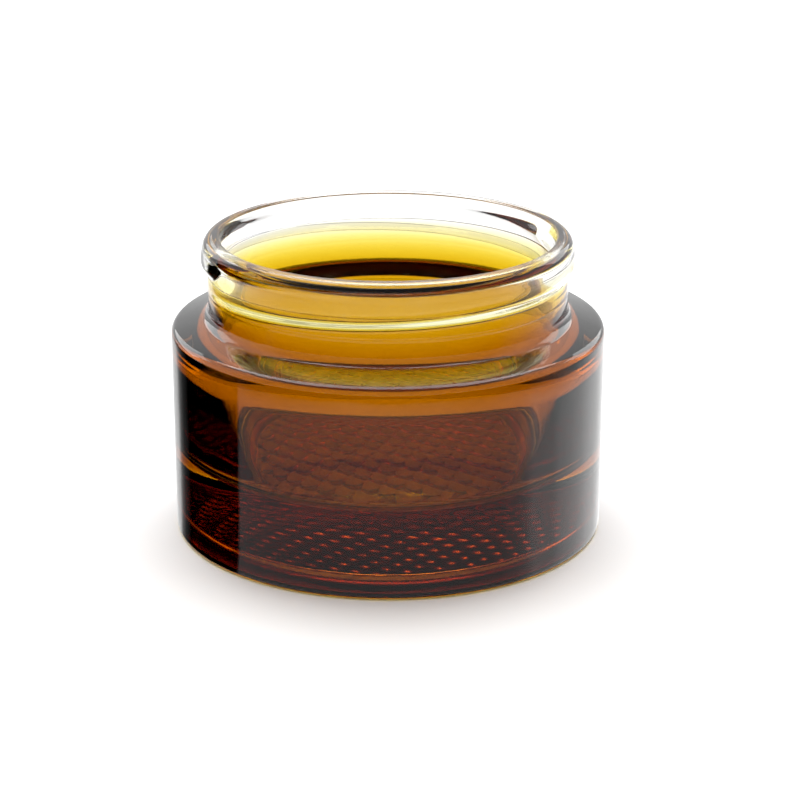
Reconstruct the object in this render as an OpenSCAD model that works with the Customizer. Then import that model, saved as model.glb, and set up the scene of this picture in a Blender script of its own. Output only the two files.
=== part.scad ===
// Open cosmetic cream jar: one heavy glass moulding with a screw thread on its neck,
// and the thin amber lacquer that is sprayed on the outside of its body.
// The origin is the centre of the foot, on the surface that the jar stands on. +Z is up.
// Both pieces are turned about the Z axis, except for the thread.

/* [Body] */
// Outside diameter of the body, over the lacquer
body_d = 62; // [58:0.5:70]
// Height of the shoulder's outer edge above the foot
shoulder_h = 30.4; // [28:0.1:31]
// Rounding of the shoulder's outer edge
shoulder_edge_r = 1.2; // [0.8:0.1:2]
// Rise of the shoulder towards the neck, in degrees
shoulder_rise = 16; // [5:1:20]
// Rounding of the heel, between the wall and the foot
heel_r = 0.9; // [0.6:0.1:1.5]

/* [Neck] */
// Height of the rim above the foot
jar_h = 43; // [42.5:0.1:46]
// Diameter of the neck, between the shoulder and the rim's band
neck_d = 51.3; // [50:0.1:52]
// Radius of the hollow between the neck and the shoulder
neck_hollow_r = 1.6; // [1:0.1:2.5]
// Diameter of the plain band around the rim
rim_d = 52; // [51.8:0.1:53]
// Height of that band
rim_band_h = 1.8; // [1.5:0.1:3]
// Height over which the band runs out into the neck
rim_fade_h = 1.3; // [0.4:0.1:2]
// Rounding of the rim's outer edge
rim_edge_r = 1.1; // [0.5:0.1:1.2]
// Rounding of the rim's inner edge
lip_r = 0.7; // [0.3:0.1:1]
// Height of the fine seam that the neck mould leaves
seam_h = 35.15; // [34.5:0.05:35.5]

/* [Thread] */
// Diameter over the thread's crest
thread_d = 53.3; // [53:0.1:55]
// Number of threads, spaced evenly around the neck
thread_starts = 2; // [1, 2]
// Rise of one thread in a full turn
thread_lead = 5; // [4.5:0.1:8]
// Height of the crest on the +X side of the jar
thread_mid_h = 39.65; // [39:0.05:40]
// Where the first thread begins, in degrees from the +X side
thread_from = -170; // [-178:1:-160]
// Where the first thread ends, in degrees from the +X side
thread_to = 35; // [20:1:40]
// Width of a thread at its root, inside the neck
thread_w = 4; // [2.5:0.1:4.4]

/* [Cavity] */
// Diameter of the straight mouth
mouth_d = 47; // [45:0.1:48]
// Depth of the straight mouth below the rim
mouth_depth = 10.7; // [9:0.1:12]
// Widest diameter of the cavity, at its belly
belly_d = 53.6; // [48:0.1:55]
// Height of the belly's upper end, where the wall starts to close in to the mouth
belly_top = 25.4; // [25:0.1:29]
// Height of the belly's lower end, where the wall starts to taper to the floor
belly_bottom = 24.8; // [20:0.1:24.9]
// Diameter of the cavity where its wall turns into the floor
cavity_d = 48.6; // [44:0.1:50]
// Rounding between the cavity's wall and its floor
cavity_corner_r = 2; // [1:0.5:5]
// Height of the cavity's floor above the foot
floor_h = 10.8; // [8:0.1:14]

/* [Underside] */
// Diameter of the recessed disc under the jar
recess_d = 43; // [30:0.1:46]
// Height of the recessed disc above the foot
recess_h = 1.25; // [0.8:0.05:2]
// Inner diameter of the flat ring that the jar stands on
foot_inner_d = 54; // [50:0.5:58]
// Height that the underside rises between the foot ring and the recess
underside_rise = 0.35; // [0.2:0.05:0.6]

/* [Lacquer] */
// Thickness of the lacquer
lacquer_t = 0.12; // [0.08:0.01:0.2]

/* [Hidden] */
$fn = 180;

body_r = body_d / 2;
neck_r = neck_d / 2;
rim_r = rim_d / 2;
mouth_r = mouth_d / 2;
belly_r = belly_d / 2;
cavity_r = cavity_d / 2;
recess_r = recess_d / 2;
over = 1;  // how far a cutting shape runs past the face that it cuts

// Centre of the shoulder edge's rounding, which every offset of the outline shares
edge_x = body_r - shoulder_edge_r;
edge_z = shoulder_h - shoulder_edge_r;
// Centre of the hollow's rounding: it touches the neck and the sloping shoulder
hollow_x = neck_r + neck_hollow_r;
slope_reach = edge_x * sin(shoulder_rise) + edge_z * cos(shoulder_rise) + shoulder_edge_r;
hollow_z = (slope_reach + neck_hollow_r - hollow_x * sin(shoulder_rise)) / cos(shoulder_rise);

// A point at a distance from a centre, square to the sloping shoulder
function off_slope(x, z, d) = [x + d * sin(shoulder_rise), z + d * cos(shoulder_rise)];

// Half of the jar's outer outline, from the heel to the neck, drawn inset by g all over
module body_outline(g) {
    edge_top = off_slope(edge_x, edge_z, shoulder_edge_r - g);
    hollow_foot = off_slope(hollow_x, hollow_z, -neck_hollow_r - g);
    translate([0, g])
        square([body_r - heel_r, edge_z - g]);
    translate([0, heel_r])
        square([body_r - g, edge_z - heel_r]);
    translate([body_r - heel_r, heel_r])
        circle(r = heel_r - g);
    translate([edge_x, edge_z])
        circle(r = shoulder_edge_r - g);
    polygon([[0, edge_z], [edge_x, edge_z], edge_top, hollow_foot, [0, hollow_foot[1]]]);
    difference() {
        polygon([[0, edge_z], hollow_foot, [hollow_x, hollow_z], [neck_r - g, hollow_z], [0, hollow_z]]);
        translate([hollow_x, hollow_z])
            circle(r = neck_hollow_r + g);
    }
    translate([0, edge_z])
        square([neck_r - g, jar_h - rim_band_h - edge_z]);
}

// Half of the rim's outline, with its plain band and its two rounded edges
module rim_outline() {
    band_z = jar_h - rim_band_h;
    fade_z = band_z - rim_fade_h;
    polygon([[0, fade_z], [neck_r, fade_z], [rim_r, band_z], [0, band_z]]);
    translate([0, band_z])
        square([rim_r, rim_band_h - rim_edge_r]);
    translate([rim_r - rim_edge_r, jar_h - rim_edge_r])
        circle(r = rim_edge_r);
    translate([0, band_z])
        square([rim_r - rim_edge_r, rim_band_h]);
}

// Half of the cavity's outline: floor, rounded corner, tapering wall, belly, flare and mouth
module cavity_outline() {
    mouth_z = jar_h - mouth_depth;
    turn_z = floor_h + cavity_corner_r;
    flare_steps = 14;
    function ease(t) = t * t * (3 - 2 * t);
    translate([0, floor_h])
        square([cavity_r - cavity_corner_r, cavity_corner_r]);
    translate([cavity_r - cavity_corner_r, turn_z])
        intersection() {
            circle(r = cavity_corner_r);
            translate([0, -cavity_corner_r])
                square(cavity_corner_r);
        }
    polygon(concat(
        [[0, turn_z], [cavity_r, turn_z], [belly_r, belly_bottom]],
        [
            for (i = [0 : flare_steps])
                let (t = i / flare_steps)
                    [belly_r + (mouth_r - belly_r) * ease(t), belly_top + (mouth_z - belly_top) * t]
        ],
        [[0, mouth_z]]
    ));
    translate([0, mouth_z])
        square([mouth_r, mouth_depth + over]);
    difference() {
        translate([0, jar_h - lip_r])
            square([mouth_r + lip_r, lip_r + over]);
        translate([mouth_r + lip_r, jar_h - lip_r])
            circle(r = lip_r);
    }
}

// Half of the hollow under the jar, drawn g larger all over: a shallow rise inside the foot
// ring, then the recessed disc
module underside_outline(g) {
    polygon([
        [0, -over],
        [foot_inner_d / 2, -over],
        [foot_inner_d / 2, g],
        [recess_r + g, underside_rise + g],
        [recess_r + g, recess_h + g],
        [0, recess_h + g]
    ]);
}

// Half of the lacquer's section: the skin of the underside, the body and the neck up to its seam
module lacquer_outline() {
    intersection() {
        difference() {
            body_outline(0);
            underside_outline(0);
            difference() {
                body_outline(lacquer_t);
                underside_outline(lacquer_t);
            }
        }
        square([body_r + over, seam_h]);
    }
}

// One thread: a rounded ridge that climbs round the neck and sinks into it at both ends.
// Its section has six corners, and its root is buried in the neck.
module thread_ridge() {
    steps = 72;
    root = 0.6;       // depth of the root inside the neck
    fade_in = 30;     // degrees over which the ridge rises from the neck
    fade_out = 12;    // degrees over which it ends
    sunk = -0.3;      // height of the ridge at its very ends, under the neck's surface
    full = thread_d / 2 - neck_r;
    half = thread_w / 2;
    function angle(i) = thread_from + (thread_to - thread_from) * i / steps;
    function rise(a) = min((a - thread_from) / fade_in, (thread_to - a) / fade_out, 1);
    function height(a) = sunk + (full - sunk) * sin(90 * max(rise(a), 0));
    function section(h) = [
        [-root, -half], [0.75 * h, -0.6 * half], [h, -0.2 * half],
        [h, 0.2 * half], [0.75 * h, 0.6 * half], [-root, half]
    ];
    corners = len(section(full));
    points = [
        for (i = [0 : steps])
            for (p = section(height(angle(i))))
                [
                    (neck_r + p[0]) * cos(angle(i)),
                    (neck_r + p[0]) * sin(angle(i)),
                    thread_mid_h + thread_lead * angle(i) / 360 + p[1]
                ]
    ];
    sides = [
        for (i = [0 : steps - 1])
            for (j = [0 : corners - 1])
                let (k = (j + 1) % corners, a = i * corners, b = a + corners)
                    each [[a + j, b + k, b + j], [a + j, a + k, b + k]]
    ];
    first = [for (j = [1 : corners - 2]) [0, j + 1, j]];
    last = [for (j = [1 : corners - 2]) [steps * corners, steps * corners + j, steps * corners + j + 1]];
    polyhedron(points = points, faces = concat(sides, first, last));
}

// The glass: a thick base, a heavy wall, a narrower neck with its thread, and the cavity.
// The lacquer's own thickness is left out of it where the lacquer lies.
module glass_jar() {
    color([0.93, 0.95, 0.93, 0.45]) {
        rotate_extrude()
            difference() {
                union() {
                    body_outline(0);
                    rim_outline();
                }
                cavity_outline();
                underside_outline(0);
                lacquer_outline();
            }
        for (i = [0 : thread_starts - 1])
            rotate([0, 0, i * 360 / thread_starts])
                thread_ridge();
    }
}

// The lacquer: a clear amber skin on the underside, the wall, the shoulder and the foot of the neck
module amber_lacquer() {
    color([0.45, 0.22, 0.05, 0.75])
        rotate_extrude()
            lacquer_outline();
}

glass_jar();
amber_lacquer();
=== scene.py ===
import math

import bpy
import numpy as np
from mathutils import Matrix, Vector


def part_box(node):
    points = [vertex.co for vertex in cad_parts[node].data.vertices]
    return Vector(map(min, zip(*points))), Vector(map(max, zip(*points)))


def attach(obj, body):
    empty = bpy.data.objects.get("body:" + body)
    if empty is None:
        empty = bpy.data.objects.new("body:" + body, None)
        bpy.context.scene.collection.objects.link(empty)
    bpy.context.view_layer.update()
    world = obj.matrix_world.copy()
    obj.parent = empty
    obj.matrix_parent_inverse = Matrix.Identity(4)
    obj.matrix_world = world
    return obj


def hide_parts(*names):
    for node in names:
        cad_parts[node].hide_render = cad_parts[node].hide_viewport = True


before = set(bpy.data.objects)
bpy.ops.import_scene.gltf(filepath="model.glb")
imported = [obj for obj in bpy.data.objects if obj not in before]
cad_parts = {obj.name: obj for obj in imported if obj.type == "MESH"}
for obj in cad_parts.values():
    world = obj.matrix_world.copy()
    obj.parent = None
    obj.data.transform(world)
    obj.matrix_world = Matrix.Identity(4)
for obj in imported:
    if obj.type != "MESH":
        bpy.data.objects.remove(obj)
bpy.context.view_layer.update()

# ---------------------------------------------------------------------------------------
# The viewpoint: a long lens in front of the jar and above its rim.
# It looks along +Y, tilted down so that both the mouth and the whole body show.
glass_low, glass_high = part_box("glass_jar")
axis_x = (glass_low[0] + glass_high[0]) / 2
axis_y = (glass_low[1] + glass_high[1]) / 2
lens_distance, lens_height, lens_tilt = 0.31735, 0.12875, math.radians(19.2415)

lens = bpy.data.cameras.new("viewpoint")
lens.sensor_width = 36.0
lens.lens = 104.14
lens.shift_x = 0.0149
lens.clip_start, lens.clip_end = 0.01, 20.0
viewpoint = bpy.data.objects.new("viewpoint", lens)
viewpoint.location = (axis_x, axis_y - lens_distance, lens_height)
viewpoint.rotation_euler = (math.pi / 2 - lens_tilt, 0.0, 0.0)
bpy.context.scene.collection.objects.link(viewpoint)
bpy.context.scene.camera = viewpoint

# ---------------------------------------------------------------------------------------
# The jar: one heavy moulding of clear flint glass with a thick base and a glossy skin.
# The mould leaves a rounded rim, a two-start thread, a seam ring low on the neck, and
# a recessed disc of small raised bumps under the base.
MM = 0.001  # the jar's lengths are in millimetres, and the thread's ends are in degrees
COLUMNS = 360
lacquer_low, lacquer_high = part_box("amber_lacquer")
body_r = (lacquer_high[0] - lacquer_low[0]) / 2 / MM
jar_h = glass_high[2] / MM
shoulder_h, shoulder_edge_r, shoulder_rise = 30.4, 1.2, math.radians(16)
heel_r = 0.9
neck_r, neck_hollow_r, neck_low_z = 25.65, 1.6, 33.2
rim_r, rim_band_h, rim_fade_h, rim_edge_r, lip_r = 26.0, 1.8, 1.3, 1.1, 0.7
seam_h, seam_rise, seam_w = lacquer_high[2] / MM, 0.07, 0.12
thread_crest, thread_lead, thread_mid_h = 0.95, 5.0, 39.7
thread_below, thread_above = 2.3, 5.0
thread_from, thread_to, thread_fade_in, thread_fade_out = -178.0, 35.0, 35.0, 16.0
mouth_r, mouth_depth = 23.5, 10.7
belly_r, belly_top, belly_bottom = 26.8, 25.4, 24.8
cavity_r, cavity_corner_r, floor_h, floor_dish = 24.3, 2.0, 10.8, 0.3
recess_r, recess_h, foot_inner_r, underside_rise = 21.5, 1.25, 27.0, 0.35
recess_wall_w, recess_wall_h = 0.3, 0.5
bump_pitch, bump_h, bump_turn = 2.8, 0.52, math.radians(26.57)
bump_spread, bump_fade_w = 0.56, 0.9  # a bump's radius over the pitch, and where the bumps fade out

# The glass leaves room for the lacquer, so the lacquer's thickness is needed here already.
coat_t, coat_top = 0.12, 38.6
foot_share = 0.4  # of the lacquer's full thickness, at the foot ring and the heel

angle = np.linspace(0.0, 360.0, COLUMNS, endpoint=False)[None, :]
ones = np.ones((1, COLUMNS))


def smooth(x):
    """A ramp that is 0 below 0 and 1 above 1, and 3x^2 - 2x^3 between."""
    x = np.clip(x, 0.0, 1.0)
    return x * x * (3.0 - 2.0 * x)


def arc(cx, cz, r, start, end, n):
    """Rows (r, z, outward normal r, outward normal z) round a centre, from one angle to another."""
    a = np.radians(np.linspace(start, end, n))
    return np.stack([cx + r * np.cos(a), cz + r * np.sin(a), np.cos(a), np.sin(a)], axis=1)


def run(a, b, n):
    """Rows on the straight line from a to b, ends left out, with the normal on its right side."""
    t = np.linspace(0.0, 1.0, n + 2)[1:-1, None]
    a, b = np.array(a, float), np.array(b, float)
    along = (b - a) / np.linalg.norm(b - a)
    return np.hstack([a + (b - a) * t, np.tile([along[1], -along[0]], (n, 1))])


def outer_rows(rows_per_mm=5.0):
    """The outside from the foot to the top of the neck: the heel's arc, the wall, the shoulder
    edge's arc, the rising shoulder, the hollow's arc and the neck up to where the rim widens."""
    edge_x, edge_z = body_r - shoulder_edge_r, shoulder_h - shoulder_edge_r
    rise_deg = math.degrees(shoulder_rise)
    heel = arc(body_r - heel_r, heel_r, heel_r, -90, 0, 12)
    edge = arc(edge_x, edge_z, shoulder_edge_r, 0, 90 - rise_deg, 12)
    hollow_x = neck_r + neck_hollow_r
    reach = edge_x * math.sin(shoulder_rise) + edge_z * math.cos(shoulder_rise) + shoulder_edge_r
    hollow_z = (reach + neck_hollow_r - hollow_x * math.sin(shoulder_rise)) / math.cos(shoulder_rise)
    hollow = arc(hollow_x, hollow_z, neck_hollow_r, 270 - rise_deg, 180, 12)
    hollow[:, 2:] *= -1.0
    wall = run(heel[-1, :2], edge[0, :2], 24)
    slope = run(edge[-1, :2], hollow[0, :2], 6)
    fade_z = jar_h - rim_band_h - rim_fade_h
    neck = run((neck_r, hollow_z), (neck_r, fade_z), int((fade_z - hollow_z) * rows_per_mm))
    return np.vstack([heel, wall, edge, slope, hollow, neck])


def rim_rows():
    """The rim: its widening, its plain band, its outer edge's arc, the flat land and its lip's arc."""
    band_z = jar_h - rim_band_h
    z = np.linspace(band_z - rim_fade_h, band_z, 8)
    r = neck_r + (rim_r - neck_r) * smooth((z - band_z + rim_fade_h) / rim_fade_h)
    widening = np.stack([r, z, 0 * z + 1, 0 * z], axis=1)
    band = run((rim_r, band_z), (rim_r, jar_h - rim_edge_r), 4)
    edge = arc(rim_r - rim_edge_r, jar_h - rim_edge_r, rim_edge_r, 0, 90, 10)
    lip = arc(mouth_r + lip_r, jar_h - lip_r, lip_r, 90, 180, 8)
    return np.vstack([widening, band, edge, lip])


def cavity_rows():
    """The inside from the lip down: straight mouth, flare to the belly, tapering wall, corner's
    arc and dished floor. The flare is a smooth step, and the taper steepens a little downwards."""
    mouth_z, turn_z = jar_h - mouth_depth, floor_h + cavity_corner_r
    mouth = run((mouth_r, jar_h - lip_r), (mouth_r, mouth_z), 8)[:, :2]
    z = np.linspace(mouth_z, belly_top, 20)
    r = mouth_r + (belly_r - mouth_r) * smooth((mouth_z - z) / (mouth_z - belly_top))
    flare = np.stack([r, z], axis=1)
    z = np.linspace(belly_bottom, turn_z, 24)
    t = (belly_bottom - z) / (belly_bottom - turn_z)
    wall = np.stack([belly_r - (belly_r - cavity_r) * t * (0.75 + 0.25 * t), z], axis=1)
    corner = arc(cavity_r - cavity_corner_r, turn_z, cavity_corner_r, 0, -90, 24)[1:, :2]
    x = np.linspace(cavity_r - cavity_corner_r, 0.0, 26)[1:]
    flat = np.stack([x, np.full_like(x, floor_h)], axis=1)
    rows = np.vstack([mouth, flare, wall, corner, flat])
    dish = floor_dish * smooth(1.0 - rows[:, 0] / (cavity_r - cavity_corner_r))
    rows[:, 1] -= dish * (rows[:, 1] < turn_z)
    return rows


def thread_height(z):
    """Height of the thread over the neck: two ridges, half a turn apart, whose middle climbs by
    the lead in a turn. Across, each is a squared cosine. Along, it rises and sinks smoothly."""
    height = np.zeros(np.broadcast(angle, z).shape)
    before = thread_from - 20.0
    for half_turn in (0.0, 180.0):
        t = np.mod(angle - half_turn - before, 360.0) + before
        s = z - (thread_mid_h + thread_lead * t / 360.0)
        share = np.clip(np.where(s > 0, s / thread_above, s / thread_below), -1, 1)
        across = np.cos(share * math.pi / 2) ** 2
        along = smooth((t - thread_from) / thread_fade_in) * smooth((thread_to - t) / thread_fade_out)
        height = np.maximum(height, thread_crest * across * along)
    return height


def neck_form(rows):
    """Radius and height of each outside row at each azimuth. The thread joins the widening rim
    as the cube root of the sum of both heights cubed, and the seam is a narrow bell curve on
    top. Both sink away in the rim's last millimetre."""
    z = rows[:, 1:2] * ones
    r = rows[:, 0:1] * ones
    on_neck = (rows[:, 0:1] < rim_r + 0.001) & (z > neck_low_z)
    stand = np.clip(r - neck_r, 0.0, None)
    seam = seam_rise * np.exp(-(((z - seam_h) / seam_w) ** 2))
    raised = neck_r + (stand**3 + thread_height(z) ** 3) ** (1.0 / 3.0) + seam
    return np.where(on_neck, r + (raised - r) * smooth(jar_h - z), r), z


def bump_height(x, y):
    """Height of the raised bumps: round domes, close together on a square lattice turned from the
    X axis. The height falls with the square of the distance to the nearest lattice point."""
    along = x * math.cos(bump_turn) - y * math.sin(bump_turn)
    across = x * math.sin(bump_turn) + y * math.cos(bump_turn)
    u = np.mod(along + bump_pitch / 2, bump_pitch) - bump_pitch / 2
    v = np.mod(across + bump_pitch / 2, bump_pitch) - bump_pitch / 2
    return bump_h * np.clip(1.0 - (u**2 + v**2) / (bump_spread * bump_pitch) ** 2, 0.0, None)


def underside():
    """Radius and height of the underside from the middle out: the recessed disc, from which the
    bumps stand down and fade out at its edge, then its low wall and the shallow cone to the foot."""
    r = np.linspace(0.0, recess_r, 70)[1:, None] * ones
    bumps = bump_height(r * np.cos(np.radians(angle)), r * np.sin(np.radians(angle)))
    z = recess_h - smooth((recess_r - r) / bump_fade_w) * bumps
    wall_r = recess_r + recess_wall_w
    half_way = (wall_r + foot_inner_r) / 2
    rings = np.array([
        [recess_r + recess_wall_w / 2, underside_rise + recess_wall_h],
        [wall_r, underside_rise],
        [half_way, underside_rise / 2],
        [foot_inner_r, 0.0],
    ])
    return np.vstack([r, rings[:, :1] * ones]), np.vstack([z, rings[:, 1:] * ones])


def coat_share(z):
    """Share of the lacquer's full thickness at a height: thin at the heel and fading up the neck."""
    fade = np.interp(z, [30.4, 32.0, 33.5, 35.0, 36.5, coat_top], [1.0, 0.88, 0.62, 0.38, 0.18, 0.0])
    heel = np.interp(z, [0.0, 0.2, 0.9], [foot_share, foot_share, 1.0])
    return fade * heel


def turned(name, r, z):
    """A closed mesh from rings: vertex (i, j) lies at radius r[i, j] and height z[i, j], at the
    azimuth j, and a point on the axis closes it before its first ring and after its last."""
    rings, columns = r.shape
    a = np.linspace(0.0, 2.0 * math.pi, columns, endpoint=False)
    points = np.stack([r * np.cos(a), r * np.sin(a), z], axis=2).reshape(-1, 3) * MM
    ends = [[0.0, 0.0, z[0].mean() * MM], [0.0, 0.0, z[-1].mean() * MM]]
    i = np.arange(rings - 1)[:, None]
    j = np.arange(columns)[None, :]
    on = (j + 1) % columns
    quads = np.stack(
        [i * columns + j, i * columns + on, (i + 1) * columns + on, (i + 1) * columns + j], axis=2
    )
    first, last, base = len(points), len(points) + 1, (rings - 1) * columns
    j, on = j[0], on[0]
    faces = quads.reshape(-1, 4).tolist()
    faces += np.stack([np.full_like(j, first), on, j], axis=1).tolist()
    faces += np.stack([np.full_like(j, last), base + j, base + on], axis=1).tolist()
    mesh = bpy.data.meshes.new(name)
    mesh.from_pydata(np.vstack([points, ends]), [], faces)
    mesh.update()
    mesh.polygons.foreach_set("use_smooth", np.ones(len(mesh.polygons), bool))
    piece = bpy.data.objects.new(name, mesh)
    bpy.context.scene.collection.objects.link(piece)
    return piece


# The lacquer's outer face, and under it the face of the glass, from the middle of the base to
# the lacquer's top. They meet at the top, and the glass goes on alone over the rim.
outside = outer_rows()
lower = outside[outside[:, 1] < coat_top]
upper_r, upper_z = neck_form(outside[outside[:, 1] >= coat_top])
rim_ring_r, rim_ring_z = neck_form(rim_rows())
lower_r, lower_z = neck_form(lower)
base_r, base_z = underside()
base_t = coat_t * np.interp(base_r, [foot_inner_r - 1.0, foot_inner_r], [1.0, foot_share])
wall_t = coat_t * coat_share(lower_z)
foot_ring = (foot_inner_r + 0.1) * ones
coat_r = np.vstack([base_r, foot_ring, lower_r])
coat_z = np.vstack([base_z, 0.0 * ones, lower_z])
bonded_r = np.vstack([base_r, foot_ring, lower_r - lower[:, 2:3] * wall_t])
bonded_z = np.vstack([base_z + base_t, coat_t * foot_share * ones, lower_z - lower[:, 3:4] * wall_t])
gap = 0.001  # lifts the glass off the lacquer's inner face, so that the two never share a place

cavity = cavity_rows()[:-1]
jar = turned(
    "clear_glass_jar",
    np.vstack([bonded_r, upper_r, rim_ring_r, cavity[:, :1] * ones]),
    np.vstack([bonded_z + gap, upper_z, rim_ring_z, cavity[:, 1:] * ones]),
)
quad_rings = (len(jar.data.vertices) - 2) // COLUMNS - 1
ring_of_face = np.repeat(np.arange(quad_rings), COLUMNS)
under_lacquer = np.concatenate([
    ring_of_face < len(bonded_r) - 1,
    np.ones(COLUMNS, bool),
    np.zeros(COLUMNS, bool),
])
jar.data.polygons.foreach_set("material_index", under_lacquer.astype(np.int32))

# The surface of both the glass and the lacquer: slow waves that the mould and the spray leave,
# a fine orange peel on them, and a haze where the waves stand high.
ripple = bpy.data.node_groups.new("surface_ripple", "ShaderNodeTree")
for label in ("Wave size", "Wave height", "Peel size", "Peel height"):
    ripple.interface.new_socket(label, in_out="INPUT", socket_type="NodeSocketFloat")
ripple.interface.new_socket("Normal", in_out="OUTPUT", socket_type="NodeSocketVector")
ripple.interface.new_socket("Haze", in_out="OUTPUT", socket_type="NodeSocketFloat")
sizes = ripple.nodes.new("NodeGroupInput")
results = ripple.nodes.new("NodeGroupOutput")
place = ripple.nodes.new("ShaderNodeTexCoord")
total = ripple.nodes.new("ShaderNodeMath")
total.operation = "ADD"
noises = {}
for socket, kind in enumerate(("Wave", "Peel")):
    scale = ripple.nodes.new("ShaderNodeMath")
    scale.operation = "DIVIDE"
    scale.inputs[0].default_value = 1.0
    ripple.links.new(sizes.outputs[kind + " size"], scale.inputs[1])
    noises[kind] = ripple.nodes.new("ShaderNodeTexNoise")
    noises[kind].inputs["Detail"].default_value = 1.0
    ripple.links.new(place.outputs["Object"], noises[kind].inputs["Vector"])
    ripple.links.new(scale.outputs[0], noises[kind].inputs["Scale"])
    height = ripple.nodes.new("ShaderNodeMath")
    height.operation = "MULTIPLY"
    ripple.links.new(noises[kind].outputs["Fac"], height.inputs[0])
    ripple.links.new(sizes.outputs[kind + " height"], height.inputs[1])
    ripple.links.new(height.outputs[0], total.inputs[socket])
relief = ripple.nodes.new("ShaderNodeBump")
relief.inputs["Distance"].default_value = 1.0
ripple.links.new(total.outputs[0], relief.inputs["Height"])
ripple.links.new(relief.outputs[0], results.inputs["Normal"])
haze = ripple.nodes.new("ShaderNodeMapRange")
haze.inputs["From Min"].default_value = 0.45
haze.inputs["From Max"].default_value = 0.8
haze.inputs["To Min"].default_value = 0.0
haze.inputs["To Max"].default_value = 0.05
ripple.links.new(noises["Wave"].outputs["Fac"], haze.inputs["Value"])
ripple.links.new(haze.outputs[0], results.inputs["Haze"])


def glossy_clear(name, colour, wave_size, wave_height, peel_size, peel_height):
    """A material of clear glass or resin, rippled by waves and peel of sizes given in metres."""
    material = bpy.data.materials.new(name)
    material.use_nodes = True
    shine = material.node_tree.nodes["Principled BSDF"]
    shine.inputs["Base Color"].default_value = colour
    shine.inputs["Transmission Weight"].default_value = 1.0
    shine.inputs["IOR"].default_value = 1.5
    skin = material.node_tree.nodes.new("ShaderNodeGroup")
    skin.node_tree = ripple
    skin.inputs["Wave size"].default_value = wave_size
    skin.inputs["Wave height"].default_value = wave_height
    skin.inputs["Peel size"].default_value = peel_size
    skin.inputs["Peel height"].default_value = peel_height
    material.node_tree.links.new(skin.outputs["Normal"], shine.inputs["Normal"])
    material.node_tree.links.new(skin.outputs["Haze"], shine.inputs["Roughness"])
    return material


flint = glossy_clear(
    "flint_glass",
    colour=(0.985, 0.99, 0.985, 1.0),
    wave_size=0.007,
    wave_height=0.00009,
    peel_size=0.0012,
    peel_height=0.000001,
)
jar.data.materials.append(flint)

# Under the lacquer the glass shows no face: both have the same index, so light goes straight on.
bond = bpy.data.materials.new("glass_under_lacquer")
bond.use_nodes = True
nodes, links = bond.node_tree.nodes, bond.node_tree.links
nodes.remove(nodes["Principled BSDF"])
links.new(nodes.new("ShaderNodeBsdfTransparent").outputs[0], nodes["Material Output"].inputs["Surface"])
jar.data.materials.append(bond)

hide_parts("glass_jar")
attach(jar, "root")

# ---------------------------------------------------------------------------------------
# The lacquer: a clear amber coat sprayed on the glass and baked on, glossy and unbroken.
# It covers the underside, the wall, the shoulder and the foot of the neck, and thins out
# up the thread. Its colour is what its thickness soaks up, and its inner face is unseen.
depth_r, depth_g, depth_b = 0.52, 1.12, 6.0  # optical depth of the full thickness, by colour

coat = turned(
    "amber_lacquer_coat",
    np.vstack([coat_r, bonded_r[::-1]]),
    np.vstack([coat_z, bonded_z[::-1]]),
)
outer_rings = len(coat_r)
ring_of_face = np.concatenate([
    np.repeat(np.arange(2 * outer_rings - 1), COLUMNS),
    np.zeros(COLUMNS),
    np.full(COLUMNS, 2 * outer_rings),
])
inner_face = coat.data.attributes.new("bonded", "FLOAT", "FACE")
inner_face.data.foreach_set("value", (ring_of_face >= outer_rings - 1).astype(np.float32))

amber = glossy_clear(
    "amber_lacquer",
    colour=(1.0, 1.0, 1.0, 1.0),
    wave_size=0.006,
    wave_height=0.00003,
    peel_size=0.0009,
    peel_height=0.0000018,
)
nodes, links = amber.node_tree.nodes, amber.node_tree.links
straight_on = nodes.new("ShaderNodeBsdfTransparent")
which_face = nodes.new("ShaderNodeAttribute")
which_face.attribute_name = "bonded"
by_face = nodes.new("ShaderNodeMixShader")
links.new(which_face.outputs["Fac"], by_face.inputs["Fac"])
links.new(nodes["Principled BSDF"].outputs[0], by_face.inputs[1])
links.new(straight_on.outputs[0], by_face.inputs[2])
links.new(by_face.outputs[0], nodes["Material Output"].inputs["Surface"])
soak = nodes.new("ShaderNodeVolumeAbsorption")
soak.inputs["Density"].default_value = depth_b / (coat_t * MM)
soak.inputs["Color"].default_value = (1 - depth_r / depth_b, 1 - depth_g / depth_b, 0.0, 1.0)
links.new(soak.outputs[0], nodes["Material Output"].inputs["Volume"])
coat.data.materials.append(amber)

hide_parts("amber_lacquer")
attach(coat, "root")

# ---------------------------------------------------------------------------------------
# The table: white card that runs out of sight, a little darker to everything but the eye,
# so that the light it throws back into the glass stays soft.
table_half = 4.0
sheet = bpy.data.meshes.new("white_table")
sheet.from_pydata(
    [(-table_half, -table_half, 0.0), (table_half, -table_half, 0.0),
     (table_half, table_half, 0.0), (-table_half, table_half, 0.0)],
    [],
    [(0, 1, 2, 3)],
)
table = bpy.data.objects.new("white_table", sheet)
bpy.context.scene.collection.objects.link(table)
paper = bpy.data.materials.new("white_paper")
paper.use_nodes = True
nodes, links = paper.node_tree.nodes, paper.node_tree.links
nodes.remove(nodes["Principled BSDF"])
either = nodes.new("ShaderNodeMixShader")
links.new(nodes.new("ShaderNodeLightPath").outputs["Is Camera Ray"], either.inputs["Fac"])
for socket, white in ((1, 0.75), (2, 0.9)):
    matt = nodes.new("ShaderNodeBsdfDiffuse")
    matt.inputs["Color"].default_value = (white, white, white, 1.0)
    links.new(matt.outputs[0], either.inputs[socket])
links.new(either.outputs[0], nodes["Material Output"].inputs["Surface"])
table.data.materials.append(paper)

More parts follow.
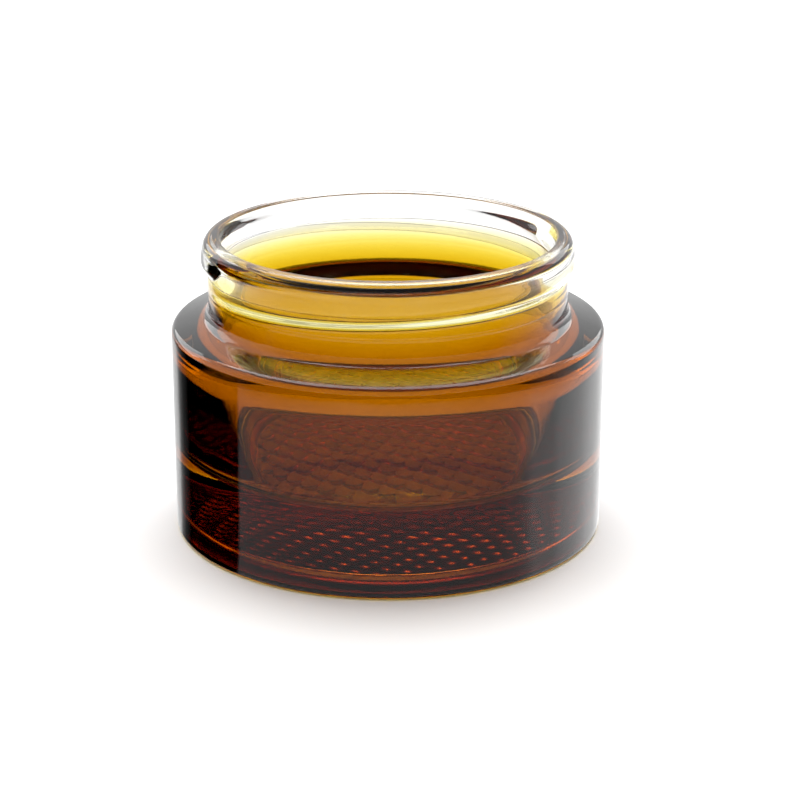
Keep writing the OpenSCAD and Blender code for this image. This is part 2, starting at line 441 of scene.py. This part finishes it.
# ---------------------------------------------------------------------------------------
# The card on the table is painted reflection: a glowing sheet, no lamp, that only reflections
# see, to shape what the wall mirrors. Its glow paints a dark band at the left and a bright stretch
# at the right, and before the jar it turns dark at card_end. A point lies a reach away from the wall, the
# way the wall mirrors.
card_end, card_fade, card_z = 74.0, 12.0, 0.02
azimuth = np.radians(np.linspace(-90.0, 90.0, 181))[None, :]
reach = np.array([0.0, 20.0, 40.0, 60.0, 74.0, 76.0, 78.0, 80.0, 82.0, 84.0, 86.0, 140.0, 260.0])[:, None]
# Painted reflection: the card's glow by azimuth, dark in a band at the left and bright at the right.
glow = np.interp(
    np.degrees(azimuth),
    [-90, -76, -73, -70, -66, -43, -42, 30, 36, 38.5, 41, 48, 51.6, 60, 66, 72, 90],
    [1.1, 1.1, 0.3, 0.08, 0.0, 0.0, 0.6, 0.6, 0.75, 0.93, 1.3, 1.25, 1.5, 1.6, 1.7, 1.55, 1.5],
)
in_front = np.clip(np.cos(azimuth) * 2.0 - 0.6, 0.0, 1.0)
glow = glow * (1.0 - in_front * smooth((reach - card_end) / card_fade))
x = body_r * np.sin(azimuth) + reach * np.sin(2 * azimuth)
y = -body_r * np.cos(azimuth) - reach * np.cos(2 * azimuth)
points = np.stack([x, y, np.full_like(x, card_z)], axis=2).reshape(-1, 3) * MM
columns = azimuth.size
i, j = np.arange(len(reach) - 1)[:, None], np.arange(columns - 1)[None, :]
quads = np.stack(
    [i * columns + j, i * columns + j + 1, (i + 1) * columns + j + 1, (i + 1) * columns + j], axis=2
)
sheet = bpy.data.meshes.new("painted_reflection_card")
sheet.from_pydata(points, [], quads.reshape(-1, 4).tolist())
brightness = sheet.attributes.new("glow", "FLOAT", "POINT")
brightness.data.foreach_set("value", glow.reshape(-1).astype(np.float32))
card = bpy.data.objects.new("painted_reflection_card", sheet)
bpy.context.scene.collection.objects.link(card)
shade = bpy.data.materials.new("painted_reflection_card")
shade.use_nodes = True
nodes, links = shade.node_tree.nodes, shade.node_tree.links
nodes.remove(nodes["Principled BSDF"])
level = nodes.new("ShaderNodeAttribute")
level.attribute_name = "glow"
# The card glows though it is no lamp, so what the wall mirrors from it is painted light and shade.
light = nodes.new("ShaderNodeEmission")
links.new(level.outputs["Fac"], light.inputs["Strength"])
links.new(light.outputs[0], nodes["Material Output"].inputs["Surface"])
card.data.materials.append(shade)
card.visible_camera = False
card.visible_diffuse = False
card.visible_transmission = False
card.visible_volume_scatter = False
card.visible_shadow = False

# ---------------------------------------------------------------------------------------
# The lamps: a wide soft one overhead, and one to each side behind the jar, for its shoulder.
# The room in front of the jar is dimmer than the room behind it.
jar_middle = Vector((0.0, 0.0, 0.02))


def soft_light(name, place, width, height, radiance):
    """A flat lamp that faces the jar: its power is its radiance times its area times pi."""
    lamp = bpy.data.lights.new(name, "AREA")
    lamp.shape = "RECTANGLE"
    lamp.size, lamp.size_y = width, height
    lamp.energy = radiance * width * height * math.pi
    holder = bpy.data.objects.new(name, lamp)
    holder.location = place
    holder.rotation_euler = (jar_middle - Vector(place)).to_track_quat("-Z", "Y").to_euler()
    bpy.context.scene.collection.objects.link(holder)


soft_light("overhead", (0.0, 0.25, 0.8), 0.9, 0.9, 3.4)
soft_light("right_side", (0.7, 0.75, 0.42), 0.7, 0.5, 2.2)
soft_light("left_side", (-0.7, 0.75, 0.42), 0.7, 0.5, 2.0)

room = bpy.data.worlds.new("studio")
bpy.context.scene.world = room
room.use_nodes = True
nodes, links = room.node_tree.nodes, room.node_tree.links
split = nodes.new("ShaderNodeSeparateXYZ")
links.new(nodes.new("ShaderNodeTexCoord").outputs["Generated"], split.inputs[0])
front_to_back = nodes.new("ShaderNodeMapRange")
front_to_back.interpolation_type = "SMOOTHSTEP"
front_to_back.inputs["From Min"].default_value = -0.5
front_to_back.inputs["From Max"].default_value = 0.3
front_to_back.inputs["To Min"].default_value = 0.22
front_to_back.inputs["To Max"].default_value = 1.0
links.new(split.outputs["Y"], front_to_back.inputs["Value"])
links.new(front_to_back.outputs[0], nodes["Background"].inputs["Strength"])
nodes["Background"].inputs["Color"].default_value = (1, 1, 1, 1)

# Light crosses up to a dozen faces of the jar, and turns back in its wall many times.
scene = bpy.context.scene
scene.view_settings.view_transform = "Standard"
scene.cycles.max_bounces = 24
scene.cycles.transmission_bounces = 24
scene.cycles.glossy_bounces = 12
scene.cycles.transparent_max_bounces = 48
